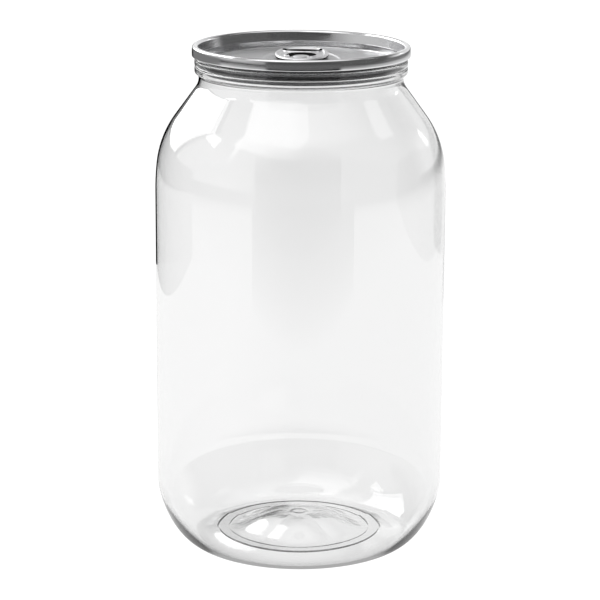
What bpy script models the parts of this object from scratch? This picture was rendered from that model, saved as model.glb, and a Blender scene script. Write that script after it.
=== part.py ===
"""A clear plastic food jar closed by a seamed aluminium can end with a stay-on pull tab.

The jar stands on z = 0 with its axis on Z.  The pull tab's lifting end points to +Y.
Three pieces: the blown jar, the can end (with its rivet) and the pull tab.
"""

import math

import bmesh
import bpy
from mathutils import Vector

MM = 0.001

# ---- driving dimensions -------------------------------------------------------------------
BODY_RADIUS = 43.6 * MM
TOTAL_HEIGHT = 152.6 * MM
SEGMENTS = 50                      # a multiple of five, one fifth for each lobe of the base

# Jar wall and base
WALL = 0.55 * MM
NECK_WALL = 0.75 * MM
RING_INNER_RADIUS = 29.6 * MM      # the flat ring that the jar stands on
RING_OUTER_RADIUS = 31.7 * MM
HEEL_HEIGHT = 19.7 * MM
HEEL_POWER = 1.65                  # 2 is a quarter ellipse, less is flatter across the corner
PUSH_UP_RADIUS = 25.1 * MM
PUSH_UP_RISE = 4.7 * MM
DOME_RADIUS = 20.9 * MM
DOME_RISE = 8.1 * MM
PLATEAU_RADIUS = 6.8 * MM
PLATEAU_FLAT = 5.8 * MM
RING_SIDE = ((0.3, 0.6), (0.65, 0.15))   # its rounded section: shares of its width and of its rise
LOBES = 5
LOBE_DEPTH = 1.3 * MM

# Jar shoulder and neck
SHOULDER_START = 108.9 * MM
EASE_RADIUS = 80.0 * MM            # a long gentle arc leads from the wall into the shoulder
EASE_ANGLE = math.radians(5.9)
CONE_ANGLE = math.radians(36.2)
WAIST_RADIUS = 30.4 * MM
WAIST_HEIGHT = 143.4 * MM
WAIST_FILLET = 5.6 * MM
BEAD_RADIUS = 31.65 * MM
BEAD_HEIGHTS = (145.9 * MM, 147.9 * MM)
BEAD_PITCH = BEAD_HEIGHTS[1] - BEAD_HEIGHTS[0]
BEAD_GROOVE = 0.3 * MM
BEAD_CREST = 0.45                  # shares of half the pitch: to the crest's end and to the foot
BEAD_FOOT = 0.9
LIP_RADIUS = 31.75 * MM            # the jar's lip stands inside the rolled seam
LIP_WALL = 0.5 * MM
LIP_BOTTOM = 149.1 * MM
LIP_TOP = 151.7 * MM

# Can end
SHEET = 0.3 * MM
SEAM_RADIUS = 32.4 * MM
SEAM_BOTTOM = 149.5 * MM
SEAM_THICKNESS = 1.75 * MM
KINK_RADIUS = 30.0 * MM            # the chuck wall bends here, just under the seam
KINK_HEIGHT = 149.45 * MM
COUNTERSINK_RADIUS = 29.0 * MM
COUNTERSINK_WIDTH = 1.2 * MM
COUNTERSINK_DEPTH = 6.75 * MM
PANEL_DEPTH = 4.7 * MM
PANEL_CORNER = 0.7 * MM
DEBOSS_DEPTH = 0.4 * MM
DEBOSS_WIDTH = 22.7 * MM
DEBOSS_BACK = 19.6 * MM
DEBOSS_FRONT = 22.0 * MM
DEBOSS_POWER = 2.4                 # 2 is an ellipse, more is squarer
RIVET_RADIUS = 1.7 * MM
RIVET_HEAD_RADIUS = 2.4 * MM

# Pull tab
TAB_WIDTH = 16.0 * MM
TAB_BACK = 18.3 * MM
TAB_FRONT = 7.2 * MM
TAB_BACK_POWER = 2.5               # 2 is half an ellipse, more is squarer
TAB_FRONT_POWER = 2.2
TAB_THICKNESS = 1.25 * MM
TAB_ROUND = 0.4 * MM
TAB_POINTS = 44
WEB_WIDTH = 12.4 * MM
WEB_THICKNESS = 0.55 * MM
FINGER_HOLE_SIZE = (10.4 * MM, 6.2 * MM)
FINGER_HOLE_Y = 12.7 * MM
TONGUE_SLOT_RADIUS = 5.4 * MM
TONGUE_SLOT_WIDTH = 1.1 * MM
TONGUE_SLOT_TURN = math.radians(118)   # to each side of the slot's middle

GAP = 0.3 * MM                     # between pieces that touch on the real jar

PANEL_HEIGHT = TOTAL_HEIGHT - PANEL_DEPTH
DEBOSS_HEIGHT = PANEL_HEIGHT - DEBOSS_DEPTH
TAB_BOTTOM = DEBOSS_HEIGHT + GAP
TAB_TOP = TAB_BOTTOM + TAB_THICKNESS


def clear_scene():
    """Remove the objects that the file opened with."""
    for obj in list(bpy.data.objects):
        bpy.data.objects.remove(obj, do_unlink=True)


def material(name, colour, roughness, metallic, transmission=0.0, ior=1.5):
    """A Principled material."""
    mat = bpy.data.materials.new(name)
    mat.use_nodes = True
    shader = mat.node_tree.nodes["Principled BSDF"]
    shader.inputs["Base Color"].default_value = (*colour, 1.0)
    shader.inputs["Roughness"].default_value = roughness
    shader.inputs["Metallic"].default_value = metallic
    shader.inputs["Transmission Weight"].default_value = transmission
    shader.inputs["IOR"].default_value = ior
    return mat


def mesh_object(name, bm, mat):
    """Put a bmesh into the scene as one smooth object with its material."""
    bmesh.ops.recalc_face_normals(bm, faces=bm.faces)
    mesh = bpy.data.meshes.new(name)
    bm.to_mesh(mesh)
    bm.free()
    mesh.materials.append(mat)
    mesh.shade_smooth()
    mesh.set_sharp_from_angle(angle=math.radians(40))
    obj = bpy.data.objects.new(name, mesh)
    bpy.context.collection.objects.link(obj)
    return obj


def arc(centre, radius, start, end, steps):
    """Points (r, z) of an arc; the angles run from the outward direction towards +Z."""
    angles = [start + (end - start) * i / steps for i in range(steps + 1)]
    return [(centre[0] + radius * math.cos(a), centre[1] + radius * math.sin(a)) for a in angles]


def turned(profile):
    """Spin a closed profile of (r, z) points about Z; its two ends lie on the axis."""
    bm = bmesh.new()
    verts = [bm.verts.new((r, 0.0, z)) for r, z in profile]
    edges = [bm.edges.new(pair) for pair in zip(verts, verts[1:])]
    bmesh.ops.spin(
        bm,
        geom=verts + edges,
        cent=(0, 0, 0),
        axis=(0, 0, 1),
        angle=math.tau,
        steps=SEGMENTS,
        use_merge=True,
    )
    bmesh.ops.remove_doubles(bm, verts=bm.verts, dist=0.001 * MM)
    return bm


def offset(profile, distance):
    """The profile moved to its left by a distance, point by point."""
    moved = []
    for i, (r, z) in enumerate(profile):
        before = profile[max(i - 1, 0)]
        after = profile[min(i + 1, len(profile) - 1)]
        run = Vector((after[0] - before[0], after[1] - before[1])).normalized()
        moved.append((r - run.y * distance, z + run.x * distance))
    return moved


# ---- jar ----------------------------------------------------------------------------------
def heel_points(steps):
    """From the standing ring up to the straight wall, a superellipse."""
    points = []
    for i in range(1, steps + 1):
        angle = math.pi / 2 * i / steps
        across = math.sin(angle) ** (2 / HEEL_POWER)
        rise = 1 - math.cos(angle) ** (2 / HEEL_POWER)
        radius = RING_OUTER_RADIUS + (BODY_RADIUS - RING_OUTER_RADIUS) * across
        points.append((radius, HEEL_HEIGHT * rise))
    return points


def shoulder_points():
    """A gentle arc, a tighter one, a cone and the fillet into the waist, all tangent."""
    ease = arc((BODY_RADIUS - EASE_RADIUS, SHOULDER_START), EASE_RADIUS, 0, EASE_ANGLE, 2)
    start = ease[-1]
    fillet_centre = (WAIST_RADIUS + WAIST_FILLET, WAIST_HEIGHT)
    fillet = arc(fillet_centre, WAIST_FILLET, math.pi + CONE_ANGLE, math.pi, 3)
    end = fillet[0]
    slope = math.tan(CONE_ANGLE)
    gap = start[0] - end[0] - slope * (end[1] - start[1])
    turn = math.cos(EASE_ANGLE) - math.cos(CONE_ANGLE)
    climb = math.sin(CONE_ANGLE) - math.sin(EASE_ANGLE)
    radius = gap / (turn - slope * climb)
    centre = (start[0] - radius * math.cos(EASE_ANGLE), start[1] - radius * math.sin(EASE_ANGLE))
    return ease + arc(centre, radius, EASE_ANGLE, CONE_ANGLE, 5)[1:] + fillet


def bead_points():
    """Two low rounded beads round the neck, then the lip inside the seam."""
    half = BEAD_PITCH / 2
    points = []
    for height in BEAD_HEIGHTS:
        points.append((BEAD_RADIUS - BEAD_GROOVE, height - half * BEAD_FOOT))
        points.append((BEAD_RADIUS, height - half * BEAD_CREST))
        points.append((BEAD_RADIUS, height + half * BEAD_CREST))
        points.append((BEAD_RADIUS - BEAD_GROOVE, height + half * BEAD_FOOT))
    points.append((LIP_RADIUS - GAP, LIP_BOTTOM))
    points.append((LIP_RADIUS, LIP_BOTTOM + GAP))
    points.append((LIP_RADIUS, LIP_TOP))
    return points


def base_points():
    """From the axis out to the flat ring: plateau, dome, flat annulus and the ring's inner side."""
    points = [(0.0, DOME_RISE), (PLATEAU_FLAT, DOME_RISE)]
    steps = 5
    for i in range(1, steps + 1):
        part = i / steps
        radius = PLATEAU_RADIUS + (DOME_RADIUS - PLATEAU_RADIUS) * part
        fall = (1 - math.cos(math.pi * part)) / 2
        points.append((radius, DOME_RISE + (PUSH_UP_RISE - DOME_RISE) * fall))
    points.append((PUSH_UP_RADIUS, PUSH_UP_RISE))
    ring_side = RING_INNER_RADIUS - PUSH_UP_RADIUS
    points += [(PUSH_UP_RADIUS + ring_side * out, PUSH_UP_RISE * up) for out, up in RING_SIDE]
    points.append((RING_INNER_RADIUS, 0.0))
    points.append((RING_OUTER_RADIUS, 0.0))
    return points


def press_lobes(bm):
    """Sink the creases between the lobes of the base, on both faces of the wall alike."""
    for vert in bm.verts:
        radius = math.hypot(vert.co.x, vert.co.y)
        if not PLATEAU_RADIUS < radius < DOME_RADIUS or vert.co.z > DOME_RISE * 2:
            continue
        part = (radius - PLATEAU_RADIUS) / (DOME_RADIUS - PLATEAU_RADIUS)
        angle = math.atan2(vert.co.y, vert.co.x) + math.pi / 2
        crease = 1 - abs(math.cos(LOBES / 2 * angle))
        vert.co.z -= LOBE_DEPTH * crease * math.sin(math.pi * part)


def make_jar():
    """The blown jar: one thin wall, open at its lip."""
    base = base_points()
    heel = heel_points(7)
    shoulder = shoulder_points()
    outer = base + heel + shoulder + bead_points()
    wall_inside = offset(base + heel[:-1], WALL)
    wall_inside[0] = (0.0, wall_inside[0][1])
    wall_inside.append((BODY_RADIUS - WALL, HEEL_HEIGHT))
    wall_inside += [(r - WALL, z) for r, z in shoulder[:2]]
    wall_inside += offset(shoulder, NECK_WALL)[3:-1]
    bore = LIP_RADIUS - LIP_WALL
    inner = wall_inside + [
        (WAIST_RADIUS - NECK_WALL, WAIST_HEIGHT),
        (BEAD_RADIUS - NECK_WALL, BEAD_HEIGHTS[0]),
        (bore, LIP_BOTTOM),
        (bore, LIP_TOP),
    ]
    bm = turned(outer + inner[::-1])
    press_lobes(bm)
    clear = material("clear_plastic", (0.94, 0.95, 0.95), 0.04, 0.0, 1.0, 1.57)
    return mesh_object("jar", bm, clear)


# ---- can end ------------------------------------------------------------------------------
def deboss_reach(angle):
    """How far the sunken field round the tab reaches, at an angle from +X."""
    reach_y = DEBOSS_BACK if math.sin(angle) > 0 else DEBOSS_FRONT
    across = abs(math.cos(angle) / (DEBOSS_WIDTH / 2)) ** DEBOSS_POWER
    along = abs(math.sin(angle) / reach_y) ** DEBOSS_POWER
    return (across + along) ** (-1 / DEBOSS_POWER)


def end_top_points():
    """The upper face of the end, from the foot of the seam to the middle of the rivet."""
    curl = SEAM_THICKNESS / 2
    countersink = COUNTERSINK_WIDTH / 2
    floor = TOTAL_HEIGHT - COUNTERSINK_DEPTH + countersink + SHEET
    points = [(SEAM_RADIUS - SHEET / 2, SEAM_BOTTOM), (SEAM_RADIUS, SEAM_BOTTOM + SHEET)]
    points += arc((SEAM_RADIUS - curl, TOTAL_HEIGHT - curl), curl, 0, math.pi, 8)
    points.append((KINK_RADIUS, KINK_HEIGHT))
    points += arc((COUNTERSINK_RADIUS, floor), countersink, 0, -math.pi, 4)
    corner = COUNTERSINK_RADIUS - countersink - PANEL_CORNER
    points += arc((corner, PANEL_HEIGHT - PANEL_CORNER), PANEL_CORNER, 0, math.pi / 2, 3)
    points.append((DEBOSS_FRONT + SHEET, PANEL_HEIGHT))
    points.append((DEBOSS_FRONT, DEBOSS_HEIGHT))
    return points


def end_under_points():
    """The lower face of the end, from the axis out to the inside of the seam."""
    countersink = COUNTERSINK_WIDTH / 2 + SHEET
    floor = TOTAL_HEIGHT - COUNTERSINK_DEPTH + countersink
    corner = COUNTERSINK_RADIUS - countersink - PANEL_CORNER + SHEET
    inner_corner = PANEL_CORNER - SHEET
    curl = SEAM_THICKNESS / 2
    points = [(0.0, DEBOSS_HEIGHT - SHEET), (RIVET_HEAD_RADIUS, DEBOSS_HEIGHT - SHEET)]
    points.append((DEBOSS_FRONT, DEBOSS_HEIGHT - SHEET))
    points.append((DEBOSS_FRONT + SHEET, PANEL_HEIGHT - SHEET))
    points += arc((corner - SHEET, PANEL_HEIGHT - PANEL_CORNER), inner_corner, math.pi / 2, 0, 2)
    points += arc((COUNTERSINK_RADIUS, floor), countersink, -math.pi, 0, 4)
    points.append((KINK_RADIUS + SHEET, KINK_HEIGHT))
    points += arc((SEAM_RADIUS - curl, TOTAL_HEIGHT - curl), curl - SHEET, math.pi, 0, 6)
    points.append((SEAM_RADIUS - SHEET, SEAM_BOTTOM + SHEET))
    return points


def rivet_points():
    """The rivet, raised from the sheet: a short stem under a wider flat head."""
    neck = TAB_BOTTOM + WEB_THICKNESS + GAP / 2
    head = TAB_TOP - GAP / 2
    return [
        (RIVET_RADIUS, DEBOSS_HEIGHT),
        (RIVET_RADIUS, neck),
        (RIVET_HEAD_RADIUS, neck + GAP / 2),
        (RIVET_HEAD_RADIUS - GAP, head),
        (0.0, head),
    ]


def shape_deboss(bm):
    """Draw the rings between the rivet and the panel's edge to the outline of the sunken field."""
    for vert in bm.verts:
        radius = math.hypot(vert.co.x, vert.co.y)
        if not DEBOSS_FRONT - SHEET < radius < DEBOSS_FRONT + 2 * SHEET:
            continue
        if vert.co.z < DEBOSS_HEIGHT - 2 * SHEET:
            continue
        reach = deboss_reach(math.atan2(vert.co.y, vert.co.x))
        scale = (reach + radius - DEBOSS_FRONT) / radius
        vert.co.x *= scale
        vert.co.y *= scale


def make_can_end():
    """The aluminium end: rolled seam, chuck wall, countersink, panel and rivet, in one sheet."""
    profile = end_under_points() + end_top_points() + rivet_points()
    bm = turned(profile)
    shape_deboss(bm)
    aluminium = material("aluminium", (0.62, 0.62, 0.63), 0.28, 1.0)
    return mesh_object("can_end", bm, aluminium)


# ---- pull tab -----------------------------------------------------------------------------
def tab_outline():
    """The tab seen from above: a broad round lifting end and a narrower nose over the tear panel."""
    points = []
    for i in range(TAB_POINTS):
        angle = math.tau * i / TAB_POINTS
        back = math.sin(angle) > 0
        middle = (TAB_BACK - TAB_FRONT) / 2
        half = (TAB_BACK + TAB_FRONT) / 2
        power = TAB_BACK_POWER if back else TAB_FRONT_POWER
        across = abs(math.cos(angle)) ** (2 / power) * math.copysign(TAB_WIDTH / 2, math.cos(angle))
        along = abs(math.sin(angle)) ** (2 / power) * math.copysign(half, math.sin(angle))
        points.append((across, middle + along))
    return points


def slab(outline, bottom, top):
    """A flat plate with the given outline."""
    bm = bmesh.new()
    verts = [bm.verts.new((x, y, bottom)) for x, y in outline]
    face = bm.faces.new(verts)
    grown = bmesh.ops.extrude_face_region(bm, geom=[face])
    lifted = [item for item in grown["geom"] if isinstance(item, bmesh.types.BMVert)]
    bmesh.ops.translate(bm, verts=lifted, vec=(0, 0, top - bottom))
    return bm


def oval(centre_y, width, depth, count):
    """Points round an oval that lies across the tab."""
    angles = [math.tau * i / count for i in range(count)]
    return [(width / 2 * math.cos(a), centre_y + depth / 2 * math.sin(a)) for a in angles]


def tongue_slot():
    """The C-shaped slot that frees the tongue held by the rivet, open towards the nose."""
    steps = 14
    outer = []
    inner = []
    for i in range(steps + 1):
        angle = math.pi / 2 + TONGUE_SLOT_TURN * (2 * i / steps - 1)
        for points, radius in ((outer, TONGUE_SLOT_RADIUS),
                               (inner, TONGUE_SLOT_RADIUS - TONGUE_SLOT_WIDTH)):
            points.append((radius * math.cos(angle), radius * math.sin(angle)))
    return outer + inner[::-1]


def cut(body, name, outline, bottom, top):
    """Take a plate-shaped cutter out of a body."""
    cutter = mesh_object(name, slab(outline, bottom, top), body.data.materials[0])
    cutter.hide_render = True
    cutter.display_type = "WIRE"
    boolean = body.modifiers.new(name, "BOOLEAN")
    boolean.operation = "DIFFERENCE"
    boolean.solver = "EXACT"
    boolean.object = cutter


def make_pull_tab():
    """The stay-on tab: a thick rolled rim round a thin web with finger hole, slot and rivet hole."""
    bright = material("tab_aluminium", (0.75, 0.75, 0.76), 0.22, 1.0)
    tab = mesh_object("pull_tab", slab(tab_outline(), TAB_BOTTOM, TAB_TOP), bright)
    rim = tab.modifiers.new("rolled rim", "BEVEL")
    rim.width = TAB_ROUND
    rim.segments = 2
    rim.limit_method = "ANGLE"
    rim.angle_limit = math.radians(50)
    below = TAB_BOTTOM - 1 * MM
    above = TAB_TOP + 1 * MM
    cut(tab, "finger_hole_cutter", oval(FINGER_HOLE_Y, *FINGER_HOLE_SIZE, 24), below, above)
    cut(tab, "web_cutter", oval(0.0, WEB_WIDTH, WEB_WIDTH, 28), TAB_BOTTOM + WEB_THICKNESS, above)
    cut(tab, "tongue_cutter", tongue_slot(), below, above)
    hole = (RIVET_RADIUS + GAP) * 2
    cut(tab, "rivet_hole_cutter", oval(0.0, hole, hole, 20), below, above)
    return tab


def main():
    """Build the three pieces."""
    clear_scene()
    make_jar()
    make_can_end()
    make_pull_tab()


main()
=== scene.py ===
"""Looks of a clear plastic jar closed by a seamed aluminium can end with a stay-on pull tab.

Three pieces stand for the three CAD nodes: the blown jar, the end with its rivet, and the tab.
The jar's axis is Z, it stands on z = 0, and the tab's lifting end points to +Y.
"""

import math

import bmesh
import bpy
from mathutils import Matrix, Vector
from mathutils.geometry import delaunay_2d_cdt


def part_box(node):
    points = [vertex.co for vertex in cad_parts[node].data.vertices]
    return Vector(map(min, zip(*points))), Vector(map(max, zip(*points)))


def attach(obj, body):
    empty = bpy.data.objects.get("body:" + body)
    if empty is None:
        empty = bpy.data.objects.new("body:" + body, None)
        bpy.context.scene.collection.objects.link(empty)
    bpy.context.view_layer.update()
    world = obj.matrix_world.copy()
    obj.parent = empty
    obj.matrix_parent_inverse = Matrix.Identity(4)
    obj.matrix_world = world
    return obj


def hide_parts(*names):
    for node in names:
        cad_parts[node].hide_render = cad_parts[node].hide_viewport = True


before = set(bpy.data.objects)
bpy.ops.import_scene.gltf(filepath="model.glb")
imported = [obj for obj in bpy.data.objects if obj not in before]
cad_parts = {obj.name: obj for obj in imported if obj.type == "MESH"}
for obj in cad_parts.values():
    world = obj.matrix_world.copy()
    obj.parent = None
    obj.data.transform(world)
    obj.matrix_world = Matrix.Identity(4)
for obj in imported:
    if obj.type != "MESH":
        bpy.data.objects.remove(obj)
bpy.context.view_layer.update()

MM = 0.001

# ---- driving dimensions -------------------------------------------------------------------
# The main sizes are the CAD model's.  Small forms differ a little from it, to look right close up:
# the base's push-up, the walls' thickness, the neck beads, the seam, the countersink's depth, and
# the tab's lift and slot.
BODY_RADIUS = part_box("jar")[1].y   # the smaller half-width of the faceted solid, to stay in its box
TOTAL_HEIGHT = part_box("can_end")[1].z
SEGMENTS = 240                     # a multiple of five, one fifth for each lobe of the base
POINT_SPACING = 0.01 * MM          # points of the jar's section lie no closer than this

# Jar wall and base
RING_INNER_RADIUS = 29.6 * MM      # the flat ring that the jar stands on
RING_OUTER_RADIUS = 31.7 * MM
HEEL_HEIGHT = 19.7 * MM
HEEL_POWER = 1.65                  # 2 is a quarter ellipse, less is flatter across the corner
PUSH_UP_RADIUS = 24.85 * MM        # the raised base, flat from here in to the foot of its dome
PUSH_UP_RISE = 1.6 * MM
DOME_RADIUS = 21.5 * MM
DOME_RISE = 6.6 * MM
DOME_SKEW = 1.2                    # 1 is a cosine fall, more keeps the dome high further out
PLATEAU_RADIUS = 5.2 * MM
GATE_RADIUS = 2.8 * MM             # the mark left by the moulding gate
GATE_RISE = 0.12 * MM
RIDGES = ((DOME_RADIUS, 0.05 * MM), (PUSH_UP_RADIUS, 0.06 * MM))   # fine rings: radius and rise
RIDGE_WIDTH = 0.3 * MM
LOBES = 5
LOBE_DEPTH = 0.9 * MM              # of the creases between the lobes
GATE_WALL = 1.0 * MM               # the blown wall is thickest under the gate
RING_WALL = 0.92 * MM
HEEL_WALL_HEIGHT = 15.0 * MM       # above this the heel is as thin as the body
BODY_WALL = 0.5 * MM
NECK_WALL = 0.75 * MM

# Jar shoulder and neck
SHOULDER_START = 108.9 * MM
EASE_RADIUS = 80.0 * MM            # a long gentle arc leads from the wall into the shoulder
EASE_ANGLE = math.radians(5.9)
CONE_ANGLE = math.radians(36.2)
WAIST_RADIUS = 30.4 * MM
WAIST_HEIGHT = 143.0 * MM
WAIST_FILLET = 5.6 * MM
WAIST_RISE = 0.8 * MM              # how far the waist stays upright before it turns out to the beads
BEAD_RADIUS = 31.65 * MM
BEAD_GROOVE = 0.45 * MM
BEAD_ROUND = 0.2                   # share of the groove's depth that the bead's gentle crown takes
BEAD_SQUARE = 7                    # power of the rest: the higher, the sharper the groove
BEAD_WALL = 1.15 * MM
BEAD_HEIGHTS = (145.35 * MM, 147.4 * MM)
BEAD_PITCH = BEAD_HEIGHTS[1] - BEAD_HEIGHTS[0]
LIP_RADIUS = 31.75 * MM            # the jar's lip stands inside the rolled seam
LIP_WALL = 0.5 * MM
LIP_BOTTOM = 149.35 * MM
LIP_TOP = 151.7 * MM
LIP_ROUND = 0.2 * MM
LIP_GROOVE_RADIUS = BEAD_RADIUS - BEAD_GROOVE - 0.15 * MM   # the deeper groove between bead and lip
LIP_GROOVE_HEIGHT = 0.35 * MM

# Can end
SHEET = 0.3 * MM
SEAM_RADIUS = 32.4 * MM
SEAM_BOTTOM = 149.35 * MM
SEAM_THICKNESS = 1.75 * MM
SEAM_CURL = SEAM_THICKNESS / 2
SEAM_FLARE = 0.06 * MM             # how far the seam's top lies inside its widest part
SEAM_LEAN = math.radians(6)        # its face leans back at the top
SEAM_TUCK = math.radians(1.7)      # and in again at the foot
SEAM_FOOT = 0.22 * MM
KINK_RADIUS = 30.1 * MM            # the chuck wall bends here, just under the seam
KINK_HEIGHT = 149.45 * MM
KINK_LEDGE = (0.12 * MM, 0.05 * MM)      # the bend's small step, in and down
UNDER_RADIUS = 30.35 * MM          # widest part of the chuck wall's product face, behind the neck
UNDER_TOP = KINK_HEIGHT - 0.1 * MM
UNDER_TAPER = 0.04 * MM
WALL_ROUND = 6.5 * MM              # the product face below it is rounded, from one slope to another
WALL_SLOPES = (math.radians(-8), math.radians(-16))
FOLD_SHADE = 0.95 * MM             # how far the fold under the seam, painted near black as painted shade, reaches down the wall
COUNTERSINK_RADIUS = 29.0 * MM
COUNTERSINK_WIDTH = 1.2 * MM
COUNTERSINK_DEPTH = 7.8 * MM
SINK = COUNTERSINK_WIDTH / 2       # radius of the countersink's round bottom
SINK_HEIGHT = TOTAL_HEIGHT - COUNTERSINK_DEPTH + SINK + SHEET
SINK_UNDER = UNDER_RADIUS - 0.1 * MM - COUNTERSINK_RADIUS   # half-width of its product face
PANEL_DEPTH = 4.7 * MM
PANEL_HEIGHT = TOTAL_HEIGHT - PANEL_DEPTH
PANEL_CORNER = 0.7 * MM
PANEL_RADIUS = COUNTERSINK_RADIUS - SINK - PANEL_CORNER
PANEL_SATIN = 0.3                  # how much rougher the panel is than the drawn rim
DEBOSS_DEPTH = 0.4 * MM
DEBOSS_WIDTH = 22.7 * MM
DEBOSS_BACK = 19.6 * MM
DEBOSS_FRONT = 22.0 * MM
DEBOSS_POWER = 2.4                 # 2 is an ellipse, more is squarer
DEBOSS_SLOPE = 0.8 * MM
DEBOSS_HEIGHT = PANEL_HEIGHT - DEBOSS_DEPTH
TEAR_SIZE = (20.5 * MM, 15.5 * MM)
TEAR_Y = -11.2 * MM
SCORE_WIDTH = 0.3 * MM
SCORE_DEPTH = 0.12 * MM
TEAR_BEAD_SIZE = (15.0 * MM, 10.0 * MM)
TEAR_BEAD_WIDTH = 1.0 * MM
TEAR_BEAD_RISE = 0.18 * MM
RIVET_RADIUS = 1.7 * MM
RIVET_HEAD_RADIUS = 2.4 * MM
RIVET_FILLET = 0.5 * MM            # the rivet's foot flares into the panel
RIVET_CROWN = 0.08 * MM            # its head is pressed a little hollow

# Pull tab
GAP = 0.3 * MM                     # clear space that the solids keep between the pieces
TAB_WIDTH = 16.0 * MM
TAB_BACK = 18.3 * MM
TAB_FRONT = 7.2 * MM
TAB_THICKNESS = 1.25 * MM
TAB_RIM = 1.7 * MM                 # width of the rolled rim
TAB_LIFT = 0.35 * MM
TAB_TURN = math.radians(-1.7)
TAB_POINTS = 120
TAB_BACK_POWER = 2.5               # 2 is half an ellipse, more is squarer
TAB_FRONT_POWER = 2.2
WEB_THICKNESS = 0.8 * MM
TONGUE_THICKNESS = 0.45 * MM
FINGER_HOLE_SIZE = (12.0 * MM, 6.2 * MM)
FINGER_HOLE_Y = 12.7 * MM
HOLE_CURL = 0.9 * MM
HOLE_CURL_RISE = 0.8               # share of the rim's rise
TONGUE_SLOT_RADIUS = 4.4 * MM
TONGUE_SLOT_Y = 1.9 * MM
SLOT_COLLAR = (0.9 * MM, 0.4 * MM)     # a raised edge round the slot: width and rise
TONGUE_SLOT_WIDTH = 1.1 * MM
TONGUE_SLOT_ENDS = (math.radians(-50), math.radians(192))
TAB_BOTTOM = DEBOSS_HEIGHT + GAP + TAB_LIFT
TAB_TOP = TAB_BOTTOM + TAB_THICKNESS

# Materials
PLASTIC_IOR = 1.57                 # polyester
WAVE_DEPTH = 0.02 * MM             # slow waves all over the blown wall
RIPPLE_DEPTH = 0.05 * MM           # finer ones in the base
HAZE_COLOUR = (0.49, 0.5, 0.5, 1)
HAZE_DENSITY = 80.0                # a trace of grey where the light passes a wall lengthways
GRAIN_DEPTH = 0.003 * MM
GRAIN_LENGTH = 0.0015              # how little the drawn grain changes round the rim, for each radian
ALUMINIUM = (0.84, 0.84, 0.85)
TAB_ALUMINIUM = (0.88, 0.88, 0.89)
LACQUER_SHADE_GREY = (0.13, 0.13, 0.133)      # on the end's product face; its dark grey is painted shade for the dark inside of the jar that this face mirrors
PAINTED_SHADE_GREY = 0.02                    # grey of cut and rolled-under edges and of the seam's fold: near black, painted shade for the shade they lie in

# Studio, in metres
CAMERA_WHITE = 1.1                 # the ground and backdrop as the camera sees them
THROUGH_WHITE = (0.968, 0.93)      # as they are seen through the jar: on its left and on its right
THROUGH_CHANGE = (-0.030, -0.003)  # where on X the one runs into the other
THROUGH_EDGE = 0.93                # and how much darker the table is painted far to the right, as painted shade
THROUGH_EDGE_REACH = (0.06, 0.12)
TABLE_LIGHT = 1.0                  # the lit table as the jar mirrors it, and the dim studio beyond
SURROUND_LIGHT = 0.08
TABLE_EDGE = (0.57, 1.25)          # distances from a point behind the jar
TABLE_MIDDLE = 0.25
BACK_RIGHT_LIGHT = 0.15            # the far end of the table behind and to the right
BACK_RIGHT_REACH = (0.3, 0.4)
CONTACT_SHADE = 0.45               # the table close round the jar's foot, as the jar mirrors it
CONTACT_REACH = (34 * MM, 46 * MM)
FLOOR_RADIUS = 6.0
FLOOR_DROP = 0.05 * MM             # keeps the floor clear of the standing ring
SHOULDER_MIDDLE = 130 * MM
LAMP_AIM = 120 * MM                # height on the jar's axis that the lamp faces
FRONT_CARD_DISTANCE = 0.29
FRONT_CARD_SIDES = (-0.245, 0.208)
LEFT_CARD_AZIMUTH = -49.5
LEFT_CARD_DISTANCE = 0.344
LEFT_CARD_SIDES = (-0.29, 0.29)
CARD_STEPS = 8

# Camera
CAMERA_LENS = 151.8                # mm, on a sensor 36 mm wide
CAMERA_DISTANCE = 744.7 * MM
CAMERA_HEIGHT = 259.0 * MM
CAMERA_TILT = math.radians(13.9)   # downwards
CAMERA_ROLL = math.radians(0.3)


# ---- curves -------------------------------------------------------------------------------
def blend(share):
    """A smooth step from 0 to 1."""
    share = min(max(share, 0.0), 1.0)
    return share * share * (3 - 2 * share)


def arc(centre, radius, start, end, steps):
    """Points (r, z) of an arc; the angles run from the outward direction towards +Z."""
    angles = [start + (end - start) * i / steps for i in range(steps + 1)]
    return [(centre[0] + radius * math.cos(a), centre[1] + radius * math.sin(a)) for a in angles]


def bezier(p0, p1, p2, p3, steps):
    """Points of a cubic Bezier curve."""
    points = []
    for i in range(steps + 1):
        t = i / steps
        weights = ((1 - t) ** 3, 3 * t * (1 - t) ** 2, 3 * t * t * (1 - t), t ** 3)
        points.append(tuple(sum(w * p[k] for w, p in zip(weights, (p0, p1, p2, p3)))
                            for k in range(2)))
    return points


def offset(profile, distances):
    """The profile moved to its left, each point by its own distance."""
    moved = []
    for i, (r, z) in enumerate(profile):
        before = profile[max(i - 1, 0)]
        after = profile[min(i + 1, len(profile) - 1)]
        run = Vector((after[0] - before[0], after[1] - before[1])).normalized()
        moved.append((r - run.y * distances[i], z + run.x * distances[i]))
    return moved


def thinned(profile, spacing):
    """The profile without points that crowd closer than a spacing."""
    kept = [profile[0]]
    for point in profile[1:]:
        if math.dist(point, kept[-1]) >= spacing:
            kept.append(point)
    return kept


# ---- meshes -------------------------------------------------------------------------------
def spun(bm, profile, slot=0):
    """Add the surface that a profile of (r, z) points draws round Z, in one of the piece's materials."""
    rings = []
    for r, z in profile:
        if r < 1e-9:
            rings.append([bm.verts.new((0, 0, z))])
            continue
        angles = [math.tau * i / SEGMENTS for i in range(SEGMENTS)]
        rings.append([bm.verts.new((r * math.cos(a), r * math.sin(a), z)) for a in angles])
    for low, high in zip(rings, rings[1:]):
        for i in range(SEGMENTS):
            j = (i + 1) % SEGMENTS
            corners = [low[i % len(low)], low[j % len(low)], high[j % len(high)], high[i % len(high)]]
            bm.faces.new(dict.fromkeys(corners)).material_index = slot


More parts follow.
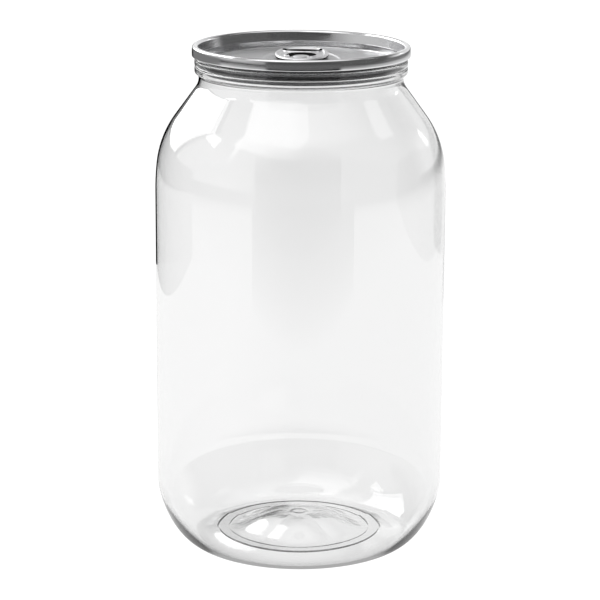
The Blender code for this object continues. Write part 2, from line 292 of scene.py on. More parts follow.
def piece(name, bm, mats, node, sharp=40):
    """Make a bmesh the piece that stands for a CAD node."""
    bmesh.ops.remove_doubles(bm, verts=bm.verts, dist=0.002 * MM)
    bmesh.ops.dissolve_degenerate(bm, edges=bm.edges, dist=0.001 * MM)
    bmesh.ops.triangulate(bm, faces=[f for f in bm.faces if len(f.verts) > 4])
    bmesh.ops.recalc_face_normals(bm, faces=bm.faces)
    mesh = bpy.data.meshes.new(name)
    bm.to_mesh(mesh)
    bm.free()
    for mat in mats:
        mesh.materials.append(mat)
    mesh.shade_smooth()
    mesh.set_sharp_from_angle(angle=math.radians(sharp))
    obj = bpy.data.objects.new(name, mesh)
    bpy.context.scene.collection.objects.link(obj)
    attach(obj, "root")
    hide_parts(node)
    return obj


def loop_distance(point, loop):
    """Distance from a point to a closed loop of points, in the plane."""
    best = 1.0
    for (ax, ay), (bx, by) in zip(loop, loop[1:] + loop[:1]):
        dx, dy = bx - ax, by - ay
        along = ((point[0] - ax) * dx + (point[1] - ay) * dy) / (dx * dx + dy * dy)
        along = min(max(along, 0.0), 1.0)
        best = min(best, math.hypot(point[0] - ax - along * dx, point[1] - ay - along * dy))
    return best


def inside(point, loop):
    """Whether a point lies within a closed loop of points."""
    within = False
    for (ax, ay), (bx, by) in zip(loop, loop[1:] + loop[:1]):
        if (ay > point[1]) != (by > point[1]):
            if point[0] < ax + (point[1] - ay) * (bx - ax) / (by - ay):
                within = not within
    return within


def grown(loop, distance):
    """A closed counter-clockwise loop moved outwards by a distance."""
    moved = []
    for i, (x, y) in enumerate(loop):
        ax, ay = loop[i - 1]
        bx, by = loop[(i + 1) % len(loop)]
        run = Vector((bx - ax, by - ay)).normalized()
        moved.append((x + run.y * distance, y - run.x * distance))
    return moved


def sheet_mesh(bm, outline, holes, guides, top, bottom, under_slot=1, walled=True):
    """Add a plate between two height functions, with holes, its mesh following the guide loops.

    Its lower face and its sides take the material under_slot; without walls it has no sides.
    """
    points, edges = [], []
    for loop in [outline] + holes + guides:
        start = len(points)
        points += [Vector(p) for p in loop]
        edges += [(start + i, start + (i + 1) % len(loop)) for i in range(len(loop))]
    flat, _, faces, *_ = delaunay_2d_cdt(points, edges, [], 0, 1e-8)
    upper = [bm.verts.new((p.x, p.y, top(p))) for p in flat]
    lower = [bm.verts.new((p.x, p.y, bottom(p))) for p in flat]
    sides = {}
    for face in faces:
        middle = sum((flat[i] for i in face), Vector((0, 0))) / len(face)
        if not inside(middle, outline) or any(inside(middle, hole) for hole in holes):
            continue
        bm.faces.new([upper[i] for i in face])
        bm.faces.new([lower[i] for i in reversed(face)]).material_index = under_slot
        for a, b in zip(face, face[1:] + face[:1]):
            if (b, a) in sides:
                del sides[(b, a)]
            else:
                sides[(a, b)] = True
    if walled:
        for a, b in sides:
            bm.faces.new([upper[b], upper[a], lower[a], lower[b]]).material_index = under_slot
    loose = [v for v in bm.verts if not v.link_faces]
    bmesh.ops.delete(bm, geom=loose, context="VERTS")


# ---- jar ----------------------------------------------------------------------------------
def ridged(profile, radius, height):
    """The profile with a fine moulded ridge at a radius."""
    raised = [(r, z) for r, z in profile if abs(r - radius) > 1.6 * RIDGE_WIDTH]
    for share in (-1.5, -1, -0.6, -0.3, 0, 0.3, 0.6, 1, 1.5):
        r = radius + share * RIDGE_WIDTH
        spans = zip(profile, profile[1:])
        (r0, z0), (r1, z1) = next(span for span in spans if span[0][0] <= r <= span[1][0])
        z = z0 + (z1 - z0) * (r - r0) / max(r1 - r0, 1e-9)
        raised.append((r, z + height * math.exp(-2 * share * share)))
    return sorted(raised)


def base_points():
    """From the axis out to the flat ring: gate, plateau, dome, flat annulus, ring side."""
    gate = DOME_RISE + GATE_RISE
    points = [(0.0, gate), (GATE_RADIUS * 0.5, gate)]
    points += bezier((GATE_RADIUS * 0.6, gate), (GATE_RADIUS * 0.9, gate),
                     (GATE_RADIUS * 0.8, DOME_RISE), (GATE_RADIUS * 1.3, DOME_RISE), 6)
    points.append((PLATEAU_RADIUS * 0.85, DOME_RISE))
    steps = 22
    for i in range(1, steps + 1):
        part = i / steps
        radius = PLATEAU_RADIUS + (DOME_RADIUS - PLATEAU_RADIUS) * part
        fall = (1 - math.cos(math.pi * part ** DOME_SKEW)) / 2
        points.append((radius, DOME_RISE + (PUSH_UP_RISE - DOME_RISE) * fall))
    reach = RING_INNER_RADIUS - PUSH_UP_RADIUS
    points += bezier((PUSH_UP_RADIUS, PUSH_UP_RISE), (PUSH_UP_RADIUS + reach * 0.2, PUSH_UP_RISE * 0.8),
                     (PUSH_UP_RADIUS + reach * 0.6, PUSH_UP_RISE * 0.25), (RING_INNER_RADIUS, 0), 14)
    points.append((RING_OUTER_RADIUS, 0.0))
    for radius, height in RIDGES:
        points = ridged(points, radius, height)
    return points


def heel_points(steps):
    """From the standing ring up to the straight wall, a superellipse."""
    points = []
    for i in range(1, steps + 1):
        angle = math.pi / 2 * i / steps
        across = math.sin(angle) ** (2 / HEEL_POWER)
        rise = 1 - math.cos(angle) ** (2 / HEEL_POWER)
        radius = RING_OUTER_RADIUS + (BODY_RADIUS - RING_OUTER_RADIUS) * across
        points.append((radius, HEEL_HEIGHT * rise))
    return points


def shoulder_points():
    """A gentle arc, a tighter one, a cone and the fillet into the waist, all tangent."""
    ease = arc((BODY_RADIUS - EASE_RADIUS, SHOULDER_START), EASE_RADIUS, 0, EASE_ANGLE, 6)
    start = ease[-1]
    fillet_centre = (WAIST_RADIUS + WAIST_FILLET, WAIST_HEIGHT)
    fillet = arc(fillet_centre, WAIST_FILLET, math.pi + CONE_ANGLE, math.pi, 10)
    end = fillet[0]
    slope = math.tan(CONE_ANGLE)
    gap = start[0] - end[0] - slope * (end[1] - start[1])
    turn = math.cos(EASE_ANGLE) - math.cos(CONE_ANGLE)
    climb = math.sin(CONE_ANGLE) - math.sin(EASE_ANGLE)
    radius = gap / (turn - slope * climb)
    centre = (start[0] - radius * math.cos(EASE_ANGLE), start[1] - radius * math.sin(EASE_ANGLE))
    return ease + arc(centre, radius, EASE_ANGLE, CONE_ANGLE, 16)[1:] + fillet


def neck_points():
    """Up from the waist over two low rounded beads to the lip inside the seam."""
    foot = BEAD_HEIGHTS[0] - BEAD_PITCH / 2
    groove = BEAD_RADIUS - BEAD_GROOVE
    points = bezier((WAIST_RADIUS, WAIST_HEIGHT), (WAIST_RADIUS, WAIST_HEIGHT + WAIST_RISE),
                    (groove - 0.15 * MM, foot - 0.5 * MM), (groove, foot), 8)[1:]
    steps = 32
    for height in BEAD_HEIGHTS:
        for i in range(1, steps + 1):
            part = math.sin(math.pi / 2 * (2 * i / steps - 1))
            square = (1 - BEAD_ROUND) * abs(part) ** BEAD_SQUARE
            round_off = BEAD_GROOVE * (BEAD_ROUND * part * part + square)
            points.append((BEAD_RADIUS - round_off, height + part * BEAD_PITCH / 2))
    points.append((LIP_GROOVE_RADIUS, LIP_BOTTOM - LIP_GROOVE_HEIGHT))
    points.append((LIP_GROOVE_RADIUS, LIP_BOTTOM))
    points += bezier((LIP_RADIUS - GAP, LIP_BOTTOM), (LIP_RADIUS, LIP_BOTTOM),
                     (LIP_RADIUS, LIP_BOTTOM), (LIP_RADIUS, LIP_BOTTOM + GAP), 4)
    points.append((LIP_RADIUS, LIP_TOP - LIP_ROUND))
    return points


def wall_at(radius, height):
    """Thickness of the blown wall: thickest at the gate, thinnest along the body."""
    if height < HEEL_HEIGHT:
        if radius < RING_INNER_RADIUS:
            return GATE_WALL + (RING_WALL - GATE_WALL) * blend(radius / DOME_RADIUS)
        return RING_WALL + (BODY_WALL - RING_WALL) * blend(height / HEEL_WALL_HEIGHT)
    climb = (height - SHOULDER_START) / (WAIST_HEIGHT - SHOULDER_START)
    return BODY_WALL + (NECK_WALL - BODY_WALL) * blend(climb)


def press_lobes(bm):
    """Sink the creases between the lobes of the base, on both faces of the wall alike."""
    above_base = DOME_RISE * 2
    for vert in bm.verts:
        radius = math.hypot(vert.co.x, vert.co.y)
        if not PLATEAU_RADIUS < radius < DOME_RADIUS or vert.co.z > above_base:
            continue
        part = (radius - PLATEAU_RADIUS) / (DOME_RADIUS - PLATEAU_RADIUS)
        angle = math.atan2(vert.co.y, vert.co.x) + math.pi / 2
        crease = 1 - abs(math.cos(LOBES / 2 * angle))
        vert.co.z -= LOBE_DEPTH * crease * math.sin(math.pi * part)


def make_jar(mat):
    """The blown jar: one thin wall, open at its lip."""
    below = base_points() + heel_points(40) + shoulder_points()
    outside_wall = thinned(below + neck_points(), POINT_SPACING)
    inside_wall = offset(below, [wall_at(*p) for p in below])
    inside_wall[0] = (0.0, inside_wall[0][1])
    bore = LIP_RADIUS - LIP_WALL
    throat = BEAD_RADIUS - BEAD_WALL
    inside_wall += bezier(inside_wall[-1], (inside_wall[-1][0], WAIST_HEIGHT + 1.0 * MM),
                          (throat, BEAD_HEIGHTS[0] - BEAD_PITCH), (throat, BEAD_HEIGHTS[0]), 10)[1:]
    inside_wall += [(throat, BEAD_HEIGHTS[1]), (throat, LIP_BOTTOM), (bore, LIP_BOTTOM + GAP)]
    inside_wall.append((bore, LIP_TOP - LIP_ROUND))
    lip_middle = (LIP_RADIUS - LIP_WALL / 2, LIP_TOP - LIP_ROUND)
    lip = arc(lip_middle, LIP_WALL / 2, 0, math.pi, 6)[1:-1]
    bm = bmesh.new()
    spun(bm, outside_wall + lip + thinned(inside_wall, POINT_SPACING)[::-1])
    press_lobes(bm)
    return piece("jar_shell", bm, [mat], "jar", 60)


# ---- can end ------------------------------------------------------------------------------
def deboss_loop():
    """Outline of the sunken field round the tab."""
    loop = []
    for i in range(SEGMENTS):
        angle = math.tau * i / SEGMENTS
        reach_y = DEBOSS_BACK if math.sin(angle) > 0 else DEBOSS_FRONT
        across = abs(math.cos(angle) / (DEBOSS_WIDTH / 2)) ** DEBOSS_POWER
        along = abs(math.sin(angle) / reach_y) ** DEBOSS_POWER
        reach = (across + along) ** (-1 / DEBOSS_POWER)
        loop.append((reach * math.cos(angle), reach * math.sin(angle)))
    return loop


def oval(centre_y, size, count=96):
    """Points round an oval of a width and depth that lies across the end."""
    angles = [math.tau * i / count for i in range(count)]
    return [(size[0] / 2 * math.cos(a), centre_y + size[1] / 2 * math.sin(a)) for a in angles]


def end_edge_points():
    """The end's open face: panel edge, countersink, chuck wall, over the seam and down to its foot."""
    points = arc((PANEL_RADIUS, PANEL_HEIGHT - PANEL_CORNER), PANEL_CORNER, math.pi / 2, 0, 8)
    points += arc((COUNTERSINK_RADIUS, SINK_HEIGHT), SINK, -math.pi, 0, 12)
    points += [(KINK_RADIUS - KINK_LEDGE[0], KINK_HEIGHT - KINK_LEDGE[1]), (KINK_RADIUS, KINK_HEIGHT)]
    seam_top = (SEAM_RADIUS - SEAM_FLARE - SEAM_CURL, TOTAL_HEIGHT - SEAM_CURL)
    points += arc(seam_top, SEAM_CURL, math.pi, SEAM_LEAN, 20)
    shoulder = points[-1]
    foot = (SEAM_RADIUS, SEAM_BOTTOM + SEAM_FOOT)
    reach = (shoulder[1] - foot[1]) * 0.4
    points += bezier(shoulder, (shoulder[0] + reach * math.tan(SEAM_LEAN), shoulder[1] - reach),
                     (foot[0] + reach * math.tan(SEAM_TUCK), foot[1] + reach), foot, 8)[1:]
    points += arc((foot[0] - SEAM_FOOT, foot[1]), SEAM_FOOT, 0, -math.pi / 2, 5)[1:]
    return points


def end_under_points():
    """The end's product face: the fold from the seam's foot over the lip, and on to the panel."""
    fold = [(SEAM_RADIUS - SEAM_FOOT, SEAM_BOTTOM), (SEAM_RADIUS - SHEET, SEAM_BOTTOM + SHEET)]
    fold += arc((SEAM_RADIUS - SEAM_CURL, TOTAL_HEIGHT - SEAM_CURL), SEAM_CURL - SHEET, 0, math.pi, 12)
    fold += [(UNDER_RADIUS, UNDER_TOP), (UNDER_RADIUS - UNDER_TAPER, KINK_HEIGHT - FOLD_SHADE)]
    points = [fold[-1]]
    points += arc((UNDER_RADIUS - WALL_ROUND, UNDER_TOP), WALL_ROUND, *WALL_SLOPES, 6)
    for i in range(21):
        angle = math.radians(40 - 220 * i / 20)
        points.append((COUNTERSINK_RADIUS + SINK_UNDER * math.cos(angle),
                       SINK_HEIGHT + (SINK + SHEET) * math.sin(angle)))
    points += arc((PANEL_RADIUS, PANEL_HEIGHT - PANEL_CORNER), PANEL_CORNER - SHEET, 0, math.pi / 2, 6)
    return fold, points


def rivet_points():
    """The rivet from inside the panel's sheet up to its head over the tab's tongue."""
    neck = TAB_BOTTOM + TONGUE_THICKNESS + GAP / 2
    head = TAB_TOP - GAP / 2
    points = [(0.0, DEBOSS_HEIGHT - SHEET / 2), (RIVET_RADIUS + RIVET_FILLET, DEBOSS_HEIGHT - SHEET / 2),
              (RIVET_RADIUS + 0.1 * MM, DEBOSS_HEIGHT + 0.1 * MM), (RIVET_RADIUS, neck)]
    edge_middle = (RIVET_HEAD_RADIUS - GAP, (neck + head) / 2)
    points += arc(edge_middle, (head - neck) / 2, -math.pi / 2, math.pi / 2, 8)
    points += [(RIVET_HEAD_RADIUS * 0.5, head - 0.03 * MM), (0.0, head - RIVET_CROWN)]
    return points


def make_can_end(mat, lacquer_shade, shade):
    """The aluminium end: rolled seam, chuck wall, countersink, panel with its relief and rivet."""
    rim = oval(0.0, (PANEL_RADIUS * 2, PANEL_RADIUS * 2), SEGMENTS)
    field = deboss_loop()
    score = oval(TEAR_Y, TEAR_SIZE)
    bead = oval(TEAR_Y, TEAR_BEAD_SIZE)

    def top(p):
        sunk = loop_distance(p, field) * (1 if inside(p, field) else -1)
        height = PANEL_HEIGHT - DEBOSS_DEPTH * blend(sunk / DEBOSS_SLOPE + 0.5)
        if sunk > 0:
            height -= SCORE_DEPTH * max(1 - loop_distance(p, score) / (SCORE_WIDTH / 2), 0)
            height += TEAR_BEAD_RISE * blend(1 - loop_distance(p, bead) / (TEAR_BEAD_WIDTH / 2))
        return height

    slope_steps = (0.6, 0.5, 0.25, 0, -0.25, -0.5, -0.6)
    guides = [grown(field, DEBOSS_SLOPE * share) for share in slope_steps]
    guides += [grown(score, SCORE_WIDTH * share) for share in (-0.8, -0.5, 0, 0.5, 0.8)]
    guides += [grown(bead, TEAR_BEAD_WIDTH * share) for share in reversed(slope_steps)]
    bm = bmesh.new()
    # The panel's sheet runs on into the corner round it, so it has no side of its own.
    sheet_mesh(bm, rim, [], guides, top, lambda p: top(p) - SHEET, under_slot=0, walled=False)
    fold, under = end_under_points()
    spun(bm, end_edge_points())
    # The fold under the seam's foot is painted near black: painted shade.
    spun(bm, fold, 2)
    # The product face below is painted dark grey: painted shade for the jar's dark inside that it mirrors.
    spun(bm, under, 1)
    spun(bm, rivet_points())
    return piece("end_shell", bm, [mat, lacquer_shade, shade], "can_end", 50)


# ---- pull tab -----------------------------------------------------------------------------
def tab_outline():
    """The tab seen from above: a broad round lifting end and a narrower nose over the tear panel."""
    points = []
    for i in range(TAB_POINTS):
        angle = math.tau * i / TAB_POINTS
        middle = (TAB_BACK - TAB_FRONT) / 2
        half = (TAB_BACK + TAB_FRONT) / 2
        power = TAB_BACK_POWER if math.sin(angle) > 0 else TAB_FRONT_POWER
        across = abs(math.cos(angle)) ** (2 / power) * math.copysign(TAB_WIDTH / 2, math.cos(angle))
        along = abs(math.sin(angle)) ** (2 / power) * math.copysign(half, math.sin(angle))
        points.append((across, middle + along))
    return points


def tongue_slot():
    """The C-shaped slot that frees the tongue held by the rivet, open towards the nose."""
    steps = 40
    outer = []
    inner = []
    for i in range(steps + 1):
        angle = TONGUE_SLOT_ENDS[0] + (TONGUE_SLOT_ENDS[1] - TONGUE_SLOT_ENDS[0]) * i / steps
        for points, radius in ((outer, TONGUE_SLOT_RADIUS),
                               (inner, TONGUE_SLOT_RADIUS - TONGUE_SLOT_WIDTH)):
            points.append((radius * math.cos(angle), TONGUE_SLOT_Y + radius * math.sin(angle)))
    return outer + inner[::-1]


def make_pull_tab(mat, edge):
    """The stay-on tab: a rolled rim, a curled finger hole and a thin web with its tongue."""
    outline = tab_outline()
    hole = oval(FINGER_HOLE_Y, FINGER_HOLE_SIZE, 72)
    slot = tongue_slot()
    pivot = oval(0.0, ((RIVET_RADIUS + GAP) * 2, (RIVET_RADIUS + GAP) * 2), 48)
    half = TAB_THICKNESS / 2
    web = TAB_BOTTOM + WEB_THICKNESS

    def roll(distance, width):
        """How far a rolled edge of a width stands up at a distance from its outside, 0 to 1."""
        if distance < half:
            return math.sqrt(max(1 - (1 - distance / half) ** 2, 0))
        return 1 - blend((distance - width + half) / half)

    def top(p):
        """Height of the tongue within the slot, and round it of whichever of web and rolls is higher."""
        if math.hypot(p[0], p[1] - TONGUE_SLOT_Y) <= TONGUE_SLOT_RADIUS - TONGUE_SLOT_WIDTH / 2:
            return TAB_BOTTOM + TONGUE_THICKNESS
        rim = loop_distance(p, outline)
        curl = loop_distance(p, hole)
        crest = TAB_BOTTOM + half
        collar = blend(2 - 2 * loop_distance(p, slot) / SLOT_COLLAR[0])
        heights = [web + SLOT_COLLAR[1] * collar]
        if rim < TAB_RIM:
            heights.append(crest + half * roll(rim, TAB_RIM))
        if rim >= half and curl < HOLE_CURL:
            heights.append(crest + half * HOLE_CURL_RISE * roll(curl, HOLE_CURL))
        return max(heights)

    def bottom(p):
        rim = min(loop_distance(p, outline), loop_distance(p, hole))
        if rim < half:
            return TAB_BOTTOM + half * (1 - math.sqrt(max(1 - (1 - rim / half) ** 2, 0)))
        return TAB_BOTTOM

    rim_steps = (0.04, 0.15, 0.35, 0.65, 1.0)
    guides = [grown(outline, -half * share) for share in rim_steps]
    guides += [grown(outline, -TAB_RIM + half * share) for share in (1, 0.75, 0.5, 0.25, 0)]
    guides += [grown(hole, half * share) for share in rim_steps]
    guides += [grown(hole, HOLE_CURL)]
    for share in (-0.62, -0.6, 0.5, 0.75, 1):
        across = (TONGUE_SLOT_RADIUS + SLOT_COLLAR[0] * share) * 2
        guides.append(oval(TONGUE_SLOT_Y, (across, across), 96))
    bm = bmesh.new()
    # The tab's lower face and the walls of its rim, slot and holes take the near-black edge material:
    # painted shade.
    sheet_mesh(bm, outline, [hole, slot, pivot], guides, top, bottom)
    bmesh.ops.rotate(bm, verts=bm.verts, matrix=Matrix.Rotation(TAB_TURN, 3, "Z"))
    return piece("tab_shell", bm, [mat, edge], "pull_tab", 45)


# ---- shader nodes -------------------------------------------------------------------------
def material(name):
    """A new node material with its tree and its Principled shader."""
    mat = bpy.data.materials.new(name)
    mat.use_nodes = True
    return mat, mat.node_tree, mat.node_tree.nodes["Principled BSDF"]


def object_place(tree):
    """Where a point is on its object, in metres from the middle of the jar's foot."""
    return tree.nodes.new("ShaderNodeTexCoord").outputs["Object"]


def coordinates(tree, vector):
    """The X, Y and Z of a vector."""
    split = tree.nodes.new("ShaderNodeSeparateXYZ")
    tree.links.new(vector, split.inputs["Vector"])
    return split.outputs


def distance_from(tree, vector, point=(0, 0, 0)):
    """How far a vector's end is from a point."""
    node = tree.nodes.new("ShaderNodeVectorMath")
    node.operation = "DISTANCE"
    node.inputs[1].default_value = point
    tree.links.new(vector, node.inputs[0])
    return node.outputs["Value"]


def noise_at(tree, vector, scale, detail=3.0):
    """A noise texture at given coordinates."""
    texture = tree.nodes.new("ShaderNodeTexNoise")
    texture.inputs["Scale"].default_value = scale
    texture.inputs["Detail"].default_value = detail
    tree.links.new(vector, texture.inputs["Vector"])
    return texture.outputs["Fac"]


def noise(tree, scale, stretch=(1, 1, 1), detail=3.0):
    """A noise texture on the object, with its coordinates scaled along the axes."""
    mapping = tree.nodes.new("ShaderNodeMapping")
    mapping.inputs["Scale"].default_value = stretch
    tree.links.new(object_place(tree), mapping.inputs["Vector"])
    return noise_at(tree, mapping.outputs["Vector"], scale, detail)


def ranged(tree, value, low, high, start=0.35, stop=0.65):
    """A value spread over a range."""
    spread = tree.nodes.new("ShaderNodeMapRange")
    spread.inputs["From Min"].default_value = start
    spread.inputs["From Max"].default_value = stop
    spread.inputs["To Min"].default_value = low
    spread.inputs["To Max"].default_value = high
    tree.links.new(value, spread.inputs["Value"])
    return spread.outputs["Result"]


def bump(tree, height, distance, strength=1.0, normal=None):
    """A bump whose height map is worth a distance in metres."""
    node = tree.nodes.new("ShaderNodeBump")
    node.inputs["Strength"].default_value = strength
    node.inputs["Distance"].default_value = distance
    tree.links.new(height, node.inputs["Height"])
    if normal is not None:
        tree.links.new(normal, node.inputs["Normal"])
    return node.outputs["Normal"]


def add_math(tree, operation, first, second):
    """One Math node; the second input may be a number."""
    node = tree.nodes.new("ShaderNodeMath")
    node.operation = operation
    tree.links.new(first, node.inputs[0])
    if isinstance(second, (int, float)):
        node.inputs[1].default_value = second
    else:
        tree.links.new(second, node.inputs[1])
    return node.outputs[0]


def emission(tree, strength):
    """A plain light-giving surface; the strength may be a number or a socket."""
    node = tree.nodes.new("ShaderNodeEmission")
    if isinstance(strength, (int, float)):
        node.inputs["Strength"].default_value = strength
    else:
        tree.links.new(strength, node.inputs["Strength"])
    return node.outputs["Emission"]


def mix_shaders(tree, share, first, second):
    """The first surface where the share is 0, the second where it is 1."""
    mix = tree.nodes.new("ShaderNodeMixShader")
    tree.links.new(share, mix.inputs["Fac"])
    tree.links.new(first, mix.inputs[1])
    tree.links.new(second, mix.inputs[2])
    return mix.outputs["Shader"]


def reflected(tree):
    """1 for light that comes by way of a reflection, 0 for what is seen straight or through the jar."""
    path = tree.nodes.new("ShaderNodeLightPath")
    return add_math(tree, "GREATER_THAN", path.outputs["Glossy Depth"], 0.5)


def surroundings(tree, mirrored, through=THROUGH_WHITE[0]):
    """White seen straight, as round a cut-out picture, a little less through the jar, or as mirrored."""
    path = tree.nodes.new("ShaderNodeLightPath")
    shown = mix_shaders(tree, path.outputs["Is Camera Ray"], emission(tree, through),
                        emission(tree, CAMERA_WHITE))
    return mix_shaders(tree, reflected(tree), shown, mirrored)


# ---- materials ----------------------------------------------------------------------------
def clear_plastic():
    """Neutral blown PET: clear, glossy, a little wavy, rippled in the base, and casting no shadow."""
    mat, tree, shader = material("clear_plastic")
    shader.inputs["Base Color"].default_value = (1, 1, 1, 1)
    shader.inputs["Transmission Weight"].default_value = 1.0
    shader.inputs["IOR"].default_value = PLASTIC_IOR
    tree.links.new(ranged(tree, noise(tree, 90), 0.0, 0.015), shader.inputs["Roughness"])
    waves = bump(tree, noise(tree, 45, (1, 1, 0.4), 1.0), WAVE_DEPTH)
    place = object_place(tree)
    on_base = ranged(tree, distance_from(tree, place), 1.0, 0.0, PUSH_UP_RADIUS, RING_INNER_RADIUS)
    pattern = add_math(tree, "MULTIPLY", noise(tree, 450, detail=4.0), on_base)
    tree.links.new(bump(tree, pattern, RIPPLE_DEPTH, normal=waves), shader.inputs["Normal"])
    path = tree.nodes.new("ShaderNodeLightPath")
    through = tree.nodes.new("ShaderNodeBsdfTransparent")
    seen = mix_shaders(tree, path.outputs["Is Shadow Ray"], shader.outputs["BSDF"], through.outputs["BSDF"])
    haze = tree.nodes.new("ShaderNodeVolumeAbsorption")
    haze.inputs["Color"].default_value = HAZE_COLOUR
    haze.inputs["Density"].default_value = HAZE_DENSITY
    output = tree.nodes["Material Output"]
    tree.links.new(seen, output.inputs["Surface"])
    tree.links.new(haze.outputs["Volume"], output.inputs["Volume"])
    return mat


def aluminium(name, colour, rough_low, rough_high):
    """Rolled sheet: its grain runs straight across the panel and is drawn out round the rim."""
    mat, tree, shader = material(name)
    shader.inputs["Base Color"].default_value = (*colour, 1)
    shader.inputs["Metallic"].default_value = 1.0
    place = object_place(tree)
    along = coordinates(tree, place)
    flat = tree.nodes.new("ShaderNodeVectorMath")
    flat.operation = "MULTIPLY"
    flat.inputs[1].default_value = (1, 1, 0)
    tree.links.new(place, flat.inputs[0])
    away = distance_from(tree, flat.outputs["Vector"])
    turn = add_math(tree, "ARCTAN2", along["Y"], along["X"])
    rings = tree.nodes.new("ShaderNodeCombineXYZ")
    tree.links.new(away, rings.inputs["X"])
    tree.links.new(along["Z"], rings.inputs["Y"])
    tree.links.new(add_math(tree, "MULTIPLY", turn, GRAIN_LENGTH), rings.inputs["Z"])
    choose = tree.nodes.new("ShaderNodeMix")
    on_rim = add_math(tree, "GREATER_THAN", away, PANEL_RADIUS - 0.2 * MM)
    tree.links.new(on_rim, choose.inputs["Factor"])
    tree.links.new(noise(tree, 1800, (0.03, 1, 1)), choose.inputs["A"])
    tree.links.new(noise_at(tree, rings.outputs["Vector"], 2600), choose.inputs["B"])
    grain = choose.outputs["Result"]
    satin = ranged(tree, on_rim, PANEL_SATIN, 0.0, 0, 1)
    rough = add_math(tree, "ADD", ranged(tree, grain, rough_low, rough_high), satin)
    tree.links.new(rough, shader.inputs["Roughness"])
    tree.links.new(bump(tree, grain, GRAIN_DEPTH), shader.inputs["Normal"])
    return mat


def dull_painted_shade(name, shade):
    """Cut and rolled-under edges and the seam's fold: a dull sheet painted near black, painted shade for
    the shade they lie in.
    """
    mat, tree, shader = material(name)
    shader.inputs["Base Color"].default_value = (shade, shade, shade, 1)
    shader.inputs["Specular IOR Level"].default_value = 0.1
    tree.links.new(ranged(tree, noise(tree, 1500), 0.5, 0.7), shader.inputs["Roughness"])
    return mat


# ---- studio -------------------------------------------------------------------------------
def shadeless(name):
    """A new node material without a shader yet, and its tree."""
    mat, tree, shader = material(name)
    tree.nodes.remove(shader)
    return mat, tree


def direction(azimuth, elevation):
    """A direction given in degrees; azimuth 0 is +Y and 90 is +X."""
    turn = math.radians(azimuth)
    lift = math.radians(elevation)
    return Vector((math.sin(turn) * math.cos(lift), math.cos(turn) * math.cos(lift), math.sin(lift)))


def make_floor():
    """A wide pale table that glows: white as the camera sees it; in reflections a painted pool of light in
    its middle, the studio dim beyond and painted shade close round the jar's foot; through the jar a little
    painted shade towards the right.
    """
    bm = bmesh.new()
    bmesh.ops.create_circle(bm, cap_ends=True, segments=64, radius=FLOOR_RADIUS)
    mesh = bpy.data.meshes.new("floor")
    bm.to_mesh(mesh)
    bm.free()
    mat, tree = shadeless("floor_white")
    place = object_place(tree)
    along = coordinates(tree, place)
    from_middle = distance_from(tree, place, (0, TABLE_MIDDLE, 0))
    lit = ranged(tree, from_middle, TABLE_LIGHT, SURROUND_LIGHT, *TABLE_EDGE)
    right = ranged(tree, along["X"], 0.0, 1.0, 0.0, BACK_RIGHT_REACH[0])
    back = ranged(tree, along["Y"], 0.0, BACK_RIGHT_LIGHT, 0.0, BACK_RIGHT_REACH[1])
    far = add_math(tree, "MAXIMUM", lit, add_math(tree, "MULTIPLY", right, back))
    near = ranged(tree, distance_from(tree, place), CONTACT_SHADE, 1.0, *CONTACT_REACH)
    uneven = ranged(tree, along["X"], *THROUGH_WHITE, *THROUGH_CHANGE)
    edge = ranged(tree, along["X"], 1.0, THROUGH_EDGE, *THROUGH_EDGE_REACH)
    through = add_math(tree, "MULTIPLY", uneven, edge)
    seen = surroundings(tree, emission(tree, add_math(tree, "MULTIPLY", far, near)), through)
    tree.links.new(seen, tree.nodes["Material Output"].inputs["Surface"])
    mesh.materials.append(mat)
    floor = bpy.data.objects.new("floor", mesh)
    floor.location.z = -FLOOR_DROP
    bpy.context.scene.collection.objects.link(floor)


def toward(azimuth, elevation, distance):
    """A point in a direction from the jar's shoulder."""
    return Vector((0, 0, SHOULDER_MIDDLE)) + direction(azimuth, elevation) * distance


def upright(azimuth, distance, across, height, solid=(1, 1)):
    """Columns of an upright card that stands square to an azimuth at a distance from the axis."""
    middle = direction(azimuth, 0) * distance
    side = direction(azimuth + 90, 0)
    foot, top = (Vector((0, 0, z)) for z in height)
    return [(middle + side * s + foot, middle + side * s + top, *solid) for s in across]


def patch(columns, distance=1.5):
    """Columns of a softbox given by directions: azimuth and elevation of its foot and of its top."""
    return [(toward(azimuth, low, distance), toward(azimuth_high, high, distance), *solid)
            for azimuth, low, azimuth_high, high, *solid in columns]


def card(name, columns, brightness):
    """A studio card or softbox that shows only in reflections.

    Its columns each have a foot, a top and how solid the card is at the one and at the other.
    """
    bm = bmesh.new()
    layer = bm.verts.layers.float.new("solid")
    rows = []
    for first, second in zip(columns, columns[1:]):
        for j in range(CARD_STEPS + 1):
            over = j / CARD_STEPS
            low, high, weak, strong = (a * (1 - over) + b * over for a, b in zip(first, second))
            rows.append([])
            for i in range(CARD_STEPS + 1):
                up = i / CARD_STEPS
                vert = bm.verts.new(low * (1 - up) + high * up)
                vert[layer] = weak * (1 - up) + strong * up
                rows[-1].append(vert)
    for left, right in zip(rows, rows[1:]):
        for i in range(CARD_STEPS):
            bm.faces.new((left[i], right[i], right[i + 1], left[i + 1]))
    bmesh.ops.remove_doubles(bm, verts=bm.verts, dist=0.01 * MM)
    mesh = bpy.data.meshes.new(name)
    bm.to_mesh(mesh)
    bm.free()
    mat, tree = shadeless(name)
    clear = tree.nodes.new("ShaderNodeBsdfTransparent")
    solid = tree.nodes.new("ShaderNodeAttribute")
    solid.attribute_name = "solid"
    shown = add_math(tree, "MULTIPLY", solid.outputs["Fac"], reflected(tree))
    seen = mix_shaders(tree, shown, clear.outputs["BSDF"], emission(tree, brightness))
    tree.links.new(seen, tree.nodes["Material Output"].inputs["Surface"])
    mesh.materials.append(mat)
    obj = bpy.data.objects.new(name, mesh)
    for kind in ("camera", "diffuse", "volume_scatter", "shadow"):
        setattr(obj, "visible_" + kind, False)
    bpy.context.scene.collection.objects.link(obj)


